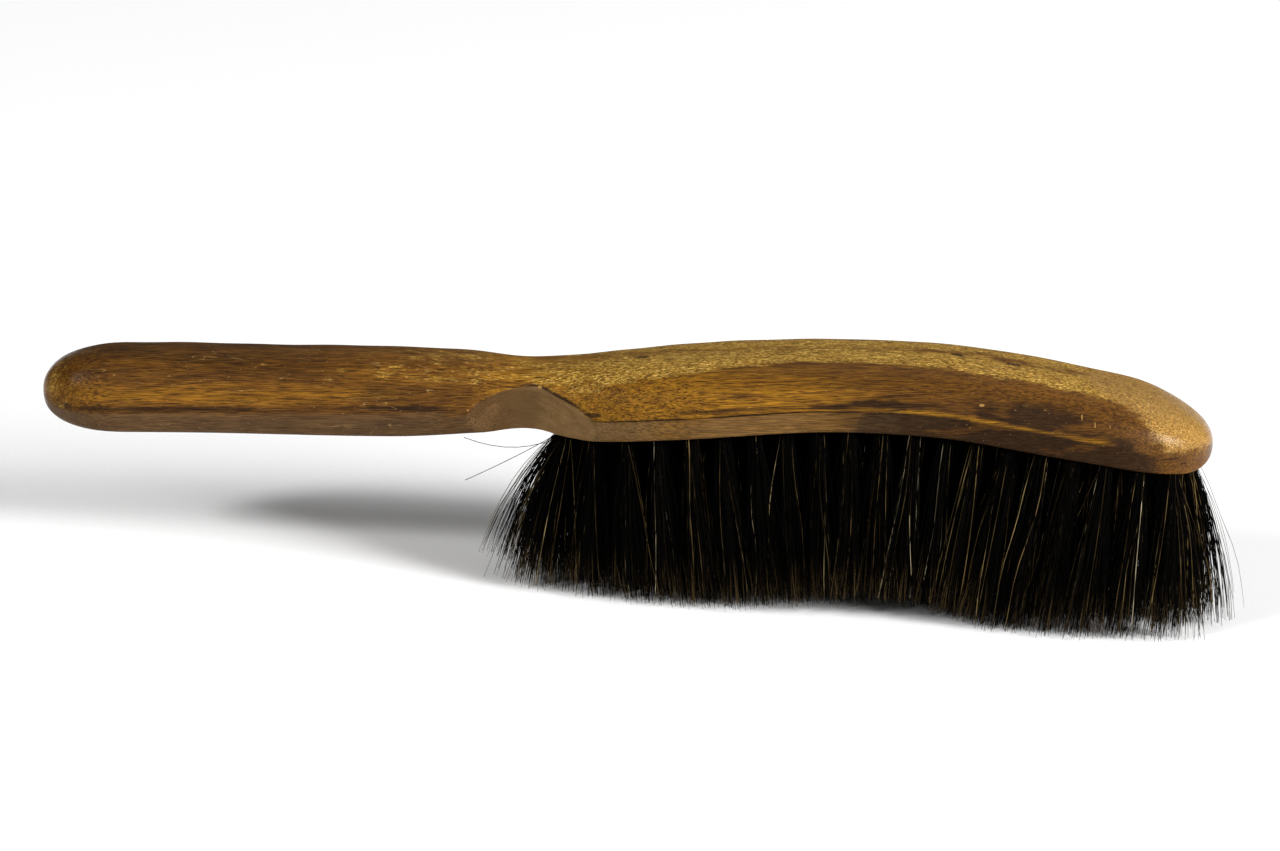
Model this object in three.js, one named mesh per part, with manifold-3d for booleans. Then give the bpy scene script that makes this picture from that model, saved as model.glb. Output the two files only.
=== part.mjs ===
// Handled clothes brush: a wooden back with its handle, a drilled bristle board glued under
// the head, and horsehair tufts held in the board by five hidden drawing wires.
// Millimetres, +Z up, standing on the bristle tips at Z = 0, handle towards -X.
// The pieces are laid out in the brush's own axes (x along the brush from the handle's end,
// y across, z up from near the handle's underside) and tilted together at the end.

import * as THREE from 'three';
import { mergeVertices } from 'three/addons/utils/BufferGeometryUtils.js';
import Module from 'manifold-3d';

const wasm = await Module();
wasm.setup();

// ---------------------------------------------------------------- driving dimensions
const LENGTH = 319.5;                // overall length of the wood
const REST_TILT = 3.79;             // degrees the handle droops when the tips stand level
const TABLE_AT = { x: 166, z: -41.6 };  // a point of the table's surface under the brush
const GLUE_GAP = 0.3;               // clearance kept between touching pieces

const HANDLE_END = 24;              // length of the handle's rounded end
const HANDLE_ROUND = 2.35;          // squareness of that rounding
const HANDLE_MIDDLE = 12.8;         // height that the rounded end closes on
const NOSE_PLAN = 30;               // length of the nose's rounding, seen from above
const NOSE_TOP = 23;                // length of the nose's rounding on the back
const NOSE_BOTTOM = 9.5;            // length of the nose's rounding under the board
const NOSE_ROUND = 2.15;            // squareness of these roundings
const CROWN = 2.7;                  // squareness of the crowned upper section
const CROWN_STEPS = 12;
const HANDLE_END_STATIONS = [0.2, 1, 2.6, 5, 8.5, 13];
const NOSE_STATIONS = [29.5, 22.5, 16.5, 11.5, 7.5, 4.5, 2.1, 0.7, 0.15];  // from the nose
const STATION_RUNS = [
  { from: 20, to: 106, step: 14 }, { from: 106, to: 160, step: 6 },
  { from: 160, to: 286, step: 14 },
];

const BOARD_START = 140.3;          // where the bristle board butts against the neck
const BOARD_THICKNESS = 6.5;        // height of the glue seam above the underside
const RELIEF_DEPTH = 1;             // hollow over the tuft holes, where the wires run
const RELIEF_MARGIN = 4;            // solid wood left round the hollow
const RELIEF_ENDS = [BOARD_START + 1.5, LENGTH - 6];
const RELIEF_STEPS = 14;
const CUTTER_OVERRUN = 2;           // how far a cutter reaches past the wood it cuts

const ROWS = 5;
const RANKS = 20;
const FIRST_RANK = 144.3;           // x of the first rank's middle tuft
const RANK_PITCH = 8.6;
const STAGGER = RANK_PITCH / 2;     // rows 2 and 4 sit half a pitch further along
const ROW_MARGIN = 6;               // from the outer row to the edge of the head
const SCOOP_WALL = 1;               // wood left between an outer hole and the finger scoop
const HOLE_RADIUS = 2.15;
const TUFT_RADIUS = 1.85;
const TUFT_SIDES = 6;
const ROOT_INSET = 0.9;             // the folded tuft ends this far below the board's top
const ROOT_STRAIGHT = 0.6;          // straight run of a tuft below the underside

const BRISTLE_LENGTH = 46.5;        // from the underside to the tips
const TIP_SPACING = 10.5;           // spacing of the rows where the tufts have spread out
const MERGE_DEPTH = 20;             // where neighbouring tufts of a rank run together
const TUFT_END = MERGE_DEPTH + 1;   // where a tuft's own outline is lost in the rank
const TUFT_SPREAD = 2.3;            // radius of a tuft there
const MERGE_HALF = 2.9;             // half thickness of a rank at MERGE_DEPTH
const RANK_GAP = 0.5;               // air between one rank's tips and the next
const TIP_OVERHANG = 3.5;           // spread of the outer tufts beyond their middle
const BOW = 0.8;                    // how much steeper a leaning tuft starts than it ends

const WIRE_SIZE = 0.6;
const WIRE_RISE = 0.45;             // wire centre above the glue seam
const WIRE_STEPS = 14;
const WIRE_SEGMENTS = 3;

// Shape of the wood along its length, as [x, value] pairs.
const UNDERSIDE = [
  [0, 2.8], [43, 2.5], [98, 1.4], [122, 2.3], [133, 2.7], [143, 1.4], [153, 1.3],
  [175, 3.3], [194, 4.8], [212, 5.8], [227, 5.6], [242, 4.6], [254, 3.1], [266, 0.8],
  [278, -1.5], [290, -3.6], [302, -6], [LENGTH, -8.6],
];
const TOP = [
  [0, 24.9], [43, 24.8], [70, 24.3], [98, 23.7], [115, 22.8], [133, 20.8], [148, 21.3],
  [163, 22.3], [180, 23.3], [194, 23.9], [212, 24], [227, 23.7], [242, 23.2], [254, 21.9],
  [266, 20.2], [278, 18], [290, 15.1], [302, 12.2], [LENGTH, 7.2],
];
const HALF_WIDTH = [
  [0, 14], [95, 14], [118, 13.2], [133, 12.6], [146, 15.2], [160, 19.4], [178, 23.2],
  [195, 24], [LENGTH, 24],
];
const BEVEL = [[0, 4], [120, 4], [160, 3], [LENGTH, 3]];             // run of the lower bevel
const CORNER = [[0, 0.28], [120, 0.28], [160, 0.12], [LENGTH, 0.12]];  // softness of its foot

// How far the middle tufts lean along the brush, in degrees from square to the board.
const LEAN = [
  [140, -17.5], [144, -15.5], [153, -10.5], [161, -6.5], [170, -3.5], [180, -1], [190, 0], [280, 0],
  [296, 4.5], [306, 10], [315, 14],
];
const OUTER_LEAN = 0.55;            // share of that lean that the outer rows take
// How far the end ranks stay in from the full width of the tips.
const TIP_WIDTH = [[143, 0.78], [160, 0.97], [175, 1], [285, 1], [300, 0.92], [312, 0.76]];

// The finger scoop in each side of the neck: [x, radius] of its turned cutter.
const SCOOP = [
  [110, 18.5], [117, 23.9], [120.3, 25.9], [123.9, 27.6], [127, 28.9], [130.3, 29.7],
  [134, 30], [137.7, 29.6], [141.6, 27.3], [148.8, 23], [157, 17],
];
const SCOOP_AXIS = { y: 34.2, z: -3.8 };
const SCOOP_SEGMENTS = 60;

// Blocks that take away whatever lies past a surface: only their near faces matter.
const SLAB = { depth: 80, foot: -60, overrun: 10 };
const TABLE = { length: 600, width: 200, thickness: 60 };

// ---------------------------------------------------------------- materials
const walnut = new THREE.MeshStandardMaterial({ color: 0x8a5a24, roughness: 0.45, metalness: 0 });
const boardWood = new THREE.MeshStandardMaterial({ color: 0x7d5a33, roughness: 0.6, metalness: 0 });
const horsehair = new THREE.MeshStandardMaterial({ color: 0x15110c, roughness: 0.55, metalness: 0 });
const brassWire = new THREE.MeshStandardMaterial({ color: 0xb08d57, roughness: 0.35, metalness: 1 });

// ---------------------------------------------------------------- small helpers
// A smooth curve through [x, value] pairs, as a function of x.
function through(points) {
  const slopes = points.map((point, i) => {
    const before = points[Math.max(i - 1, 0)];
    const after = points[Math.min(i + 1, points.length - 1)];
    return (after[1] - before[1]) / (after[0] - before[0]);
  });
  return (x) => {
    let i = 0;
    while (i < points.length - 2 && x > points[i + 1][0]) i += 1;
    const [x0, v0] = points[i];
    const [x1, v1] = points[i + 1];
    const span = x1 - x0;
    const t = THREE.MathUtils.clamp((x - x0) / span, 0, 1);
    const eased = t * t * (3 - 2 * t);
    const start = t * (1 - t) * (1 - t) * span * slopes[i];
    const end = t * t * (t - 1) * span * slopes[i + 1];
    return v0 + (v1 - v0) * eased + start + end;
  };
}

// 1 along the body, falling to 0 over the given length before an end.
function roundOff(distanceToEnd, length, squareness) {
  const t = THREE.MathUtils.clamp(1 - distanceToEnd / length, 0, 1);
  return Math.pow(1 - Math.pow(t, squareness), 1 / squareness);
}

function surface(vertices, faces) {
  const geometry = new THREE.BufferGeometry();
  geometry.setAttribute('position', new THREE.Float32BufferAttribute(vertices, 3));
  geometry.setIndex(faces);
  return geometry;
}

// The triangles that fill a ring of corners, seen along the one axis not given.
function fill(ring, axes) {
  const contour = ring.map((corner) => new THREE.Vector2(corner[axes[0]], corner[axes[1]]));
  const turn = Math.sign(THREE.ShapeUtils.area(contour));
  return THREE.ShapeUtils.triangulateShape(contour, []).map((triangle) => {
    const area = THREE.ShapeUtils.area(triangle.map((k) => contour[k]));
    return Math.sign(area) === turn ? triangle : [...triangle].reverse();
  });
}

const ACROSS = [1, 2];              // rings that stand across the brush
const LEVEL = [0, 1];               // rings that lie level

// A closed skin through rings of [x, y, z] corners, filled at both ends.
function loft(rings, axes) {
  const sides = rings[0].length;
  const last = (rings.length - 1) * sides;
  const faces = [];
  for (let start = 0; start < last; start += sides) {
    for (let k = 0; k < sides; k += 1) {
      const a = start + k;
      const b = start + ((k + 1) % sides);
      faces.push(a, b, a + sides, b, b + sides, a + sides);
    }
  }
  for (const triangle of fill(rings[0], axes)) faces.push(...triangle.reverse());
  for (const triangle of fill(rings[rings.length - 1], axes)) {
    faces.push(...triangle.map((k) => k + last));
  }
  return surface(rings.flat(2), faces);
}

function solid(geometry) {
  const bare = new THREE.BufferGeometry();
  bare.setAttribute('position', geometry.getAttribute('position'));
  if (geometry.index) bare.setIndex(geometry.index);
  const merged = mergeVertices(bare, 1e-4);
  return new wasm.Manifold(new wasm.Mesh({
    numProp: 3,
    vertProperties: new Float32Array(merged.attributes.position.array),
    triVerts: new Uint32Array(merged.index.array),
  }));
}

function geometryOf(body) {
  const mesh = body.getMesh();
  return surface(Array.from(mesh.vertProperties), Array.from(mesh.triVerts));
}

// ---------------------------------------------------------------- the wood's outer shape
const undersideAt = through(UNDERSIDE);
const topAt = through(TOP);
const widthAt = through(HALF_WIDTH);
const bevelAt = through(BEVEL);
const cornerAt = through(CORNER);
const leanAt = through(LEAN);
const tipWidthAt = through(TIP_WIDTH);
const scoopAt = through(SCOOP);

const seamAt = (x) => undersideAt(x) + BOARD_THICKNESS;

// How much of its full section the wood keeps at x: across, above and below its middle.
function endRounding(x) {
  const handle = roundOff(x, HANDLE_END, HANDLE_ROUND);
  return {
    across: handle * roundOff(LENGTH - x, NOSE_PLAN, NOSE_ROUND),
    above: handle * roundOff(LENGTH - x, NOSE_TOP, NOSE_ROUND),
    below: handle * roundOff(LENGTH - x, NOSE_BOTTOM, NOSE_ROUND),
  };
}

const halfWidthAt = (x) => widthAt(x) * endRounding(x).across;

// Half of the width that the finger scoops leave at x and z.
function scoopedWidth(x, z) {
  if (x > SCOOP[SCOOP.length - 1][0]) return halfWidthAt(x);
  const radius = scoopAt(x);
  const rise = z - SCOOP_AXIS.z;
  return Math.min(halfWidthAt(x), SCOOP_AXIS.y - Math.sqrt(radius * radius - rise * rise));
}

// The section at x, from its right edge over the crown and back under the bevels.
function woodSection(x) {
  const keep = endRounding(x);
  const seam = seamAt(x);
  const middle = x < LENGTH / 2 ? HANDLE_MIDDLE : seam;
  const w = widthAt(x);
  const foot = w - bevelAt(x);
  const soft = cornerAt(x);
  const corners = [];
  for (let k = 0; k <= CROWN_STEPS; k += 1) {
    const angle = (Math.PI * k) / CROWN_STEPS;
    const c = Math.cos(angle);
    const y = Math.sign(c) * Math.pow(Math.abs(c), 2 / CROWN) * w;
    corners.push([y, seam + (topAt(x) - seam) * Math.pow(Math.sin(angle), 2 / CROWN)]);
  }
  const low = undersideAt(x);
  const bevelFoot = [foot + bevelAt(x) * soft, low + BOARD_THICKNESS * soft];
  const flatEdge = [foot - BOARD_THICKNESS * soft, low];
  corners.push([-bevelFoot[0], bevelFoot[1]], [-flatEdge[0], low]);
  corners.push([flatEdge[0], low], bevelFoot);
  return corners.map(([y, z]) => {
    const keepHeight = z > middle ? keep.above : keep.below;
    return [x, y * keep.across, middle + (z - middle) * keepHeight];
  });
}

// Where the wood's sections stand: close together at the neck and at the rounded ends.
function woodStations() {
  const stations = HANDLE_END_STATIONS.slice();
  for (const { from, to, step } of STATION_RUNS) {
    for (let x = from; x < to; x += step) stations.push(x);
  }
  return [...stations, ...NOSE_STATIONS.map((inset) => LENGTH - inset)];
}

// A cutter that takes away everything under the seam, raised by the given amount.
function underSeam(raise, start) {
  const outline = new THREE.Shape();
  outline.moveTo(start, SLAB.foot);
  outline.lineTo(start, seamAt(start) + raise);
  for (const x of woodStations().filter((station) => station > start)) {
    outline.lineTo(x, seamAt(x) + raise);
  }
  outline.lineTo(LENGTH + SLAB.overrun, seamAt(LENGTH) + raise);
  outline.lineTo(LENGTH + SLAB.overrun, SLAB.foot);
  outline.closePath();
  const slab = new THREE.ExtrudeGeometry(outline, { depth: SLAB.depth, bevelEnabled: false });
  slab.rotateX(Math.PI / 2);
  slab.translate(0, SLAB.depth / 2, 0);
  return solid(slab);
}

function scoop(side) {
  const first = SCOOP[0][0];
  const last = SCOOP[SCOOP.length - 1][0];
  const profile = [new THREE.Vector2(0, first)];
  for (const [x, radius] of SCOOP) profile.push(new THREE.Vector2(radius, x));
  profile.push(new THREE.Vector2(0, last));
  const drum = new THREE.LatheGeometry(profile, SCOOP_SEGMENTS);
  drum.rotateZ(-Math.PI / 2);
  drum.translate(0, side * SCOOP_AXIS.y, SCOOP_AXIS.z);
  return solid(drum);
}

// The shallow hollow in the back over the tuft holes.
function relief() {
  const rings = [];
  for (let k = 0; k <= RELIEF_STEPS; k += 1) {
    const x = THREE.MathUtils.lerp(...RELIEF_ENDS, k / RELIEF_STEPS);
    const w = Math.min(halfWidthAt(x) - RELIEF_MARGIN, scoopedWidth(x, seamAt(x)) - SCOOP_WALL);
    const low = seamAt(x) - CUTTER_OVERRUN;
    const high = seamAt(x) + GLUE_GAP / 2 + RELIEF_DEPTH;
    rings.push([[x, w, low], [x, w, high], [x, -w, high], [x, -w, low]]);
  }
  return solid(loft(rings, ACROSS));
}

// ---------------------------------------------------------------- where the tufts sit
// Rank 0 is next to the neck; row 0 is on the -Y side.
function tuftPlace(rank, row) {
  const x = FIRST_RANK + rank * RANK_PITCH + (row % 2 === 1 ? STAGGER : 0);
  const across = (2 * row) / (ROWS - 1) - 1;
  const rise = undersideAt(x + 0.5) - undersideAt(x - 0.5);
  const nearScoop = scoopedWidth(x - HOLE_RADIUS, undersideAt(x)) - HOLE_RADIUS - SCOOP_WALL;
  const outerRow = Math.min(halfWidthAt(x) - ROW_MARGIN, nearScoop);
  return { x, y: across * outerRow, across, square: Math.atan(rise) };
}

// The middle of a tuft at a depth below the underside (negative inside its hole).
function tuftMiddle(rank, row, depth) {
  const place = tuftPlace(rank, row);
  const reach = Math.max(depth, 0) / BRISTLE_LENGTH;
  const share = THREE.MathUtils.lerp(1, OUTER_LEAN, place.across * place.across);
  const fan = THREE.MathUtils.degToRad(leanAt(place.x)) * share * (1 + BOW * (1 - reach));
  const lean = place.square + (depth > 0 ? fan : 0);
  const tipY = place.across * TIP_SPACING * ((ROWS - 1) / 2) * tipWidthAt(place.x);
  return {
    x: place.x + Math.sin(lean) * depth,
    y: THREE.MathUtils.lerp(place.y, tipY, reach),
    z: undersideAt(place.x) - Math.cos(lean) * depth,
    lean,
  };
}

// A regular ring round the tuft's middle, square to the tuft.
function tuftRing(rank, row, depth, radius) {
  const at = tuftMiddle(rank, row, depth);
  const ring = [];
  for (let k = 0; k < TUFT_SIDES; k += 1) {
    const angle = (2 * Math.PI * k) / TUFT_SIDES;
    const u = Math.cos(angle) * radius;
    ring.push([
      at.x + u * Math.cos(at.lean),
      at.y - Math.sin(angle) * radius,
      at.z + u * Math.sin(at.lean),
    ]);
  }
  return ring;
}

// ---------------------------------------------------------------- bristle board
function bristleBoard(wood) {
  let board = wood.intersect(underSeam(-GLUE_GAP / 2, BOARD_START + GLUE_GAP / 2));
  for (let rank = 0; rank < RANKS; rank += 1) {
    for (let row = 0; row < ROWS; row += 1) {
      const { square } = tuftPlace(rank, row);
      const above = tuftRing(rank, row, -BOARD_THICKNESS - CUTTER_OVERRUN, HOLE_RADIUS);
      const run = BOARD_THICKNESS + 2 * CUTTER_OVERRUN;
      const below = above.map(([x, y, z]) => [
        x + Math.sin(square) * run, y, z - Math.cos(square) * run,
      ]);
      board = board.subtract(solid(loft([above, below], LEVEL)));
    }
  }
  return geometryOf(board);
}

// ---------------------------------------------------------------- bristles
// Half the thickness of a rank at its tips, leaving RANK_GAP to the ranks beside it.
function tipHalf(rank) {
  const room = [];
  for (const other of [rank - 1, rank + 1]) {
    if (other < 0 || other >= RANKS) continue;
    for (let row = 0; row < ROWS; row += 1) {
      const here = tuftMiddle(rank, row, BRISTLE_LENGTH).x;
      const there = tuftMiddle(other, row, BRISTLE_LENGTH).x;
      room.push(Math.abs(here - there));
    }
  }
  return (Math.min(...room) - RANK_GAP) / 2;
}

// The zigzag outline of a rank of merged tufts at one depth.
function rankOutline(rank, depth, half, overhang) {
  const middles = [];
  for (let row = 0; row < ROWS; row += 1) middles.push(tuftMiddle(rank, row, depth));
  const shifted = (at, along, across) => [
    at.x + along * Math.cos(at.lean), at.y + across, at.z + along * Math.sin(at.lean),
  ];
  const outline = middles.map((at) => shifted(at, half, 0));
  outline.push(shifted(middles[ROWS - 1], 0, overhang));
  outline.push(...middles.map((at) => shifted(at, -half, 0)).reverse());
  outline.push(shifted(middles[0], 0, -overhang));
  return outline.reverse();
}

// Everything below the table's surface, so that resting tips end flat on it.
function belowTable() {
  const block = new THREE.BoxGeometry(TABLE.length, TABLE.width, TABLE.thickness);
  block.translate(0, 0, -TABLE.thickness / 2);
  block.rotateY(THREE.MathUtils.degToRad(REST_TILT));
  block.translate(TABLE_AT.x, 0, TABLE_AT.z);
  return solid(block);
}

function bristleRank(rank, table) {
  const rootDepth = -(BOARD_THICKNESS - GLUE_GAP / 2 - ROOT_INSET);
  let bristles = solid(loft([
    rankOutline(rank, MERGE_DEPTH, MERGE_HALF, MERGE_HALF),
    rankOutline(rank, BRISTLE_LENGTH, tipHalf(rank), TIP_OVERHANG),
  ], LEVEL));
  for (let row = 0; row < ROWS; row += 1) {
    bristles = bristles.add(solid(loft([
      tuftRing(rank, row, rootDepth, TUFT_RADIUS),
      tuftRing(rank, row, ROOT_STRAIGHT, TUFT_RADIUS),
      tuftRing(rank, row, TUFT_END, TUFT_SPREAD),
    ], LEVEL)));
  }
  return geometryOf(bristles.subtract(table));
}

// ---------------------------------------------------------------- drawing wires
// One wire runs along each row, on top of the board and over its tufts' folds.
function drawingWire(row) {
  const points = [];
  for (let rank = 0; rank < RANKS; rank += 1) {
    const { x, y } = tuftPlace(rank, row);
    points.push(new THREE.Vector3(x, y, seamAt(x) + WIRE_RISE));
  }
  const section = new THREE.Shape();
  section.absarc(0, 0, WIRE_SIZE / 2, 0, 2 * Math.PI, false);
  const wire = new THREE.ExtrudeGeometry(section, {
    steps: WIRE_STEPS,
    curveSegments: WIRE_SEGMENTS,
    bevelEnabled: false,
    extrudePath: new THREE.CatmullRomCurve3(points),
  });
  return wire;
}

// ---------------------------------------------------------------- assembly
const brush = new THREE.Group();

function place(name, geometry, material) {
  const mesh = new THREE.Mesh(geometry, material);
  mesh.name = name;
  brush.add(mesh);
}

const wood = solid(loft(woodStations().map(woodSection), ACROSS))
  .subtract(scoop(1))
  .subtract(scoop(-1));
const back = wood
  .subtract(underSeam(GLUE_GAP / 2, BOARD_START - GLUE_GAP / 2))
  .subtract(relief());

place('back_and_handle', geometryOf(back), walnut);
place('bristle_board', bristleBoard(wood), boardWood);
for (let row = 0; row < ROWS; row += 1) {
  place(`drawing_wire_${row + 1}`, drawingWire(row), brassWire);
}
const table = belowTable();
for (let rank = 0; rank < RANKS; rank += 1) {
  const number = String(rank + 1).padStart(2, '0');
  place(`bristle_rank_${number}`, bristleRank(rank, table), horsehair);
}

// Stand the brush on its tips, with the middle of its outline over the origin.
brush.rotation.y = -THREE.MathUtils.degToRad(REST_TILT);
brush.updateMatrixWorld(true);
const outline = new THREE.Box3().setFromObject(brush, true);
brush.position.x = -(outline.min.x + outline.max.x) / 2;
brush.position.y = -(outline.min.y + outline.max.y) / 2;
brush.position.z = -outline.min.z;

const group = new THREE.Group();
group.add(brush);

export default group;
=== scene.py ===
import math

import bmesh
import bpy
import numpy as np
from mathutils import Matrix, Vector


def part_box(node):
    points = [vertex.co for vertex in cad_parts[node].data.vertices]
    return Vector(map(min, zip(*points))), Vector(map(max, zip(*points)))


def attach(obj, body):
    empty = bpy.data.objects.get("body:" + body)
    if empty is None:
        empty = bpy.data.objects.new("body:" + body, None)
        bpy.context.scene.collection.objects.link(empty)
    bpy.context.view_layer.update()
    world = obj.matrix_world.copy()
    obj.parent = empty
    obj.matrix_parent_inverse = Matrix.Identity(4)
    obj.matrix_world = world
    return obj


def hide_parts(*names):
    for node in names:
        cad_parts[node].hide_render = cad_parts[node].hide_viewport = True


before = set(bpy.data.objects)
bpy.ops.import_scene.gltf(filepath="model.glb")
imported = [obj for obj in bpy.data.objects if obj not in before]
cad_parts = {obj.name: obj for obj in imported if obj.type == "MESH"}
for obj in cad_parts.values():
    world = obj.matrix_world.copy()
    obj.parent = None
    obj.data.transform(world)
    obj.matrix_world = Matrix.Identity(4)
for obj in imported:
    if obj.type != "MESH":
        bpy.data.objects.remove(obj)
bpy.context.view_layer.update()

# The clothes brush at full detail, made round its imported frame. The wood, the drilled board and
# the bristles are built in millimetres along the brush's own axes (x from the handle's end, y
# across, z up), and stand() turns them onto the table in the frame's metres.

# ------------------------------------------------------------------ driving dimensions, mm
LENGTH = 319.5
REST_TILT = math.radians(3.79)
TABLE_AT = (166, -41.6)             # x and z of a point of the table's surface under the brush

HANDLE_END, HANDLE_ROUND, HANDLE_MIDDLE = 24, 2.35, 12.8
NOSE_PLAN, NOSE_TOP, NOSE_BOTTOM, NOSE_ROUND = 30, 23, 9.5, 2.15
CROWN = 2.7
BOARD_START, BOARD_THICKNESS = 140.3, 6.5
RELIEF_DEPTH, RELIEF_MARGIN = 1.15, 4
RELIEF_ENDS = (BOARD_START + 1.5, LENGTH - 6)
RELIEF_START, RELIEF_DRAFT = 0.03, 0.05     # its depth at both ends and the slope of its walls

ROWS, RANKS = 5, 20
FIRST_RANK, RANK_PITCH = 144.3, 8.6
ROW_MARGIN, SCOOP_WALL = 6, 1
HOLE_RADIUS = 2.15
TUFT_RADIUS = 1.8
BRISTLE_LENGTH = 46.5
TIP_SPACING = 10.5
OUTER_LEAN, BOW = 0.55, 0.8
TIP_GAP = 0.5                       # air between one rank's tips and the next

UNDERSIDE = [
    (0, 2.8), (43, 2.5), (98, 1.4), (122, 2.3), (133, 2.7), (143, 1.4), (153, 1.3), (175, 3.3),
    (194, 4.8), (212, 5.8), (227, 5.6), (242, 4.6), (254, 3.1), (266, 0.8), (278, -1.5),
    (290, -3.6), (302, -6), (LENGTH, -8.6),
]
TOP = [
    (0, 24.9), (43, 24.8), (70, 24.3), (98, 23.7), (115, 22.8), (133, 20.8), (148, 21.3),
    (163, 22.3), (180, 23.3), (194, 23.9), (212, 24), (227, 23.7), (242, 23.2), (254, 21.9),
    (266, 20.2), (278, 18), (290, 15.1), (302, 12.2), (LENGTH, 7.2),
]
HALF_WIDTH = [
    (0, 14), (95, 14), (118, 13.2), (133, 12.6), (146, 15.2), (160, 19.4), (178, 23.2),
    (195, 24), (LENGTH, 24),
]
BEVEL = [(0, 4), (120, 4), (160, 3), (LENGTH, 3)]
CORNER = [(0, 0.28), (120, 0.28), (160, 0.12), (LENGTH, 0.12)]
LEAN = [
    (140, -17.5), (144, -15.5), (153, -10.5), (161, -6.5), (170, -3.5), (180, -1), (190, 0),
    (280, 0), (296, 4.5), (306, 10), (315, 14),
]
TIP_WIDTH = [(143, 0.78), (160, 0.97), (175, 1), (285, 1), (300, 0.92), (312, 0.76)]
SCOOP = [
    (110, 18.5), (117, 23.9), (120.3, 25.9), (123.9, 27.6), (127, 28.9), (130.3, 29.7),
    (134, 30), (137.7, 29.6), (141.6, 27.3), (148.8, 23), (157, 17),
]
SCOOP_AXIS = (34.2, -3.8)           # |y| and z of the scoops' axes


# ------------------------------------------------------------------ the brush's formulas
def through(points):
    """A smooth curve through (x, value) pairs, as a function of an array of x."""
    xs, values = np.array(points, float).T
    ids = np.arange(len(xs))
    before, after = np.maximum(ids - 1, 0), np.minimum(ids + 1, len(xs) - 1)
    slopes = (values[after] - values[before]) / (xs[after] - xs[before])

    def curve(x):
        x = np.asarray(x, float)
        i = np.clip(np.searchsorted(xs, x) - 1, 0, len(xs) - 2)
        span = xs[i + 1] - xs[i]
        t = np.clip((x - xs[i]) / span, 0, 1)
        eased = t * t * (3 - 2 * t)
        bend = t * (1 - t) ** 2 * slopes[i] + t * t * (t - 1) * slopes[i + 1]
        return values[i] + (values[i + 1] - values[i]) * eased + bend * span

    return curve


underside_at, top_at, width_at = through(UNDERSIDE), through(TOP), through(HALF_WIDTH)
bevel_at, corner_at = through(BEVEL), through(CORNER)
lean_at, tip_width_at, scoop_at = through(LEAN), through(TIP_WIDTH), through(SCOOP)


def seam_at(x):
    return underside_at(x) + BOARD_THICKNESS


def step(value, low, high):
    """0 up to low, 1 from high, smooth between. low may be the larger."""
    t = np.clip((value - low) / (high - low), 0, 1)
    return t * t * (3 - 2 * t)


def round_off(to_end, length, squareness):
    t = np.clip(1 - to_end / length, 0, 1)
    return (1 - t**squareness) ** (1 / squareness)


def end_rounding(x):
    """How much of its full section the wood keeps at x: across, above and below its middle."""
    handle = round_off(x, HANDLE_END, HANDLE_ROUND)
    lengths = (NOSE_PLAN, NOSE_TOP, NOSE_BOTTOM)
    return [handle * round_off(LENGTH - x, length, NOSE_ROUND) for length in lengths]


def middle_at(x):
    return np.where(x < LENGTH / 2, HANDLE_MIDDLE, seam_at(x))


def half_width_at(x):
    return width_at(x) * end_rounding(x)[0]


def scooped_width(x, z):
    """Half of the width that the finger scoops leave at x and z."""
    rise = z - SCOOP_AXIS[1]
    left = SCOOP_AXIS[0] - np.sqrt(scoop_at(x) ** 2 - rise**2)
    return np.where(x > SCOOP[-1][0], half_width_at(x), np.minimum(half_width_at(x), left))


COS, SIN = math.cos(REST_TILT), math.sin(REST_TILT)


def tip_of_handle():
    """The lowest x that the CAD wood reaches once it is tilted, before it is centred."""
    x = 0.2
    above = end_rounding(x)[1]
    high = HANDLE_MIDDLE + (top_at(x) - HANDLE_MIDDLE) * above
    return x * COS - high * SIN


SHIFT_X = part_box("back_and_handle")[0].x * 1000 - tip_of_handle()
SHIFT_Z = -(TABLE_AT[0] * SIN + TABLE_AT[1] * COS)


def stand(points):
    """Points in the brush's axes, mm, to the frame's axes, m."""
    x, y, z = np.asarray(points, float).reshape(-1, 3).T
    return np.c_[x * COS - z * SIN + SHIFT_X, y, x * SIN + z * COS + SHIFT_Z] / 1000


def lay(points):
    """The way back, from the frame's metres to the brush's millimetres."""
    x, y, z = (np.asarray(points, float) * 1000).T
    x, z = x - SHIFT_X, z - SHIFT_Z
    return np.c_[x * COS + z * SIN, y, z * COS - x * SIN]


# ------------------------------------------------------------------ mesh helpers
def new_object(name, vertices, faces):
    mesh = bpy.data.meshes.new(name)
    mesh.from_pydata(vertices.tolist(), [], faces)
    mesh.update()
    piece = bpy.data.objects.new(name, mesh)
    bpy.context.scene.collection.objects.link(piece)
    return piece


def close_rings(rings):
    """A closed skin through an array of rings (stations, corners, 3), filled at both ends."""
    stations, sides = rings.shape[:2]
    ids = np.arange(stations * sides).reshape(stations, sides)
    turned = np.roll(ids, -1, axis=1)
    faces = np.stack([ids[:-1], turned[:-1], turned[1:], ids[1:]], axis=-1).reshape(-1, 4).tolist()
    middles = rings[[0, -1]].mean(axis=1)
    first, last = stations * sides, stations * sides + 1
    faces += [[first, b, a] for a, b in zip(ids[0].tolist(), turned[0].tolist())]
    faces += [[last, a, b] for a, b in zip(ids[-1].tolist(), turned[-1].tolist())]
    return np.vstack([rings.reshape(-1, 3), middles]), faces


def outward(piece):
    """Turns a closed mesh's faces outwards."""
    work = bmesh.new()
    work.from_mesh(piece.data)
    bmesh.ops.recalc_face_normals(work, faces=work.faces)
    if work.calc_volume(signed=True) < 0:
        bmesh.ops.reverse_faces(work, faces=work.faces)
    work.to_mesh(piece.data)
    work.free()


def smooth(piece, crease):
    """Shades a piece smooth, but keeps edges sharper than the crease, in degrees."""
    piece.data.shade_smooth()
    piece.data.set_sharp_from_angle(angle=math.radians(crease))


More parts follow.
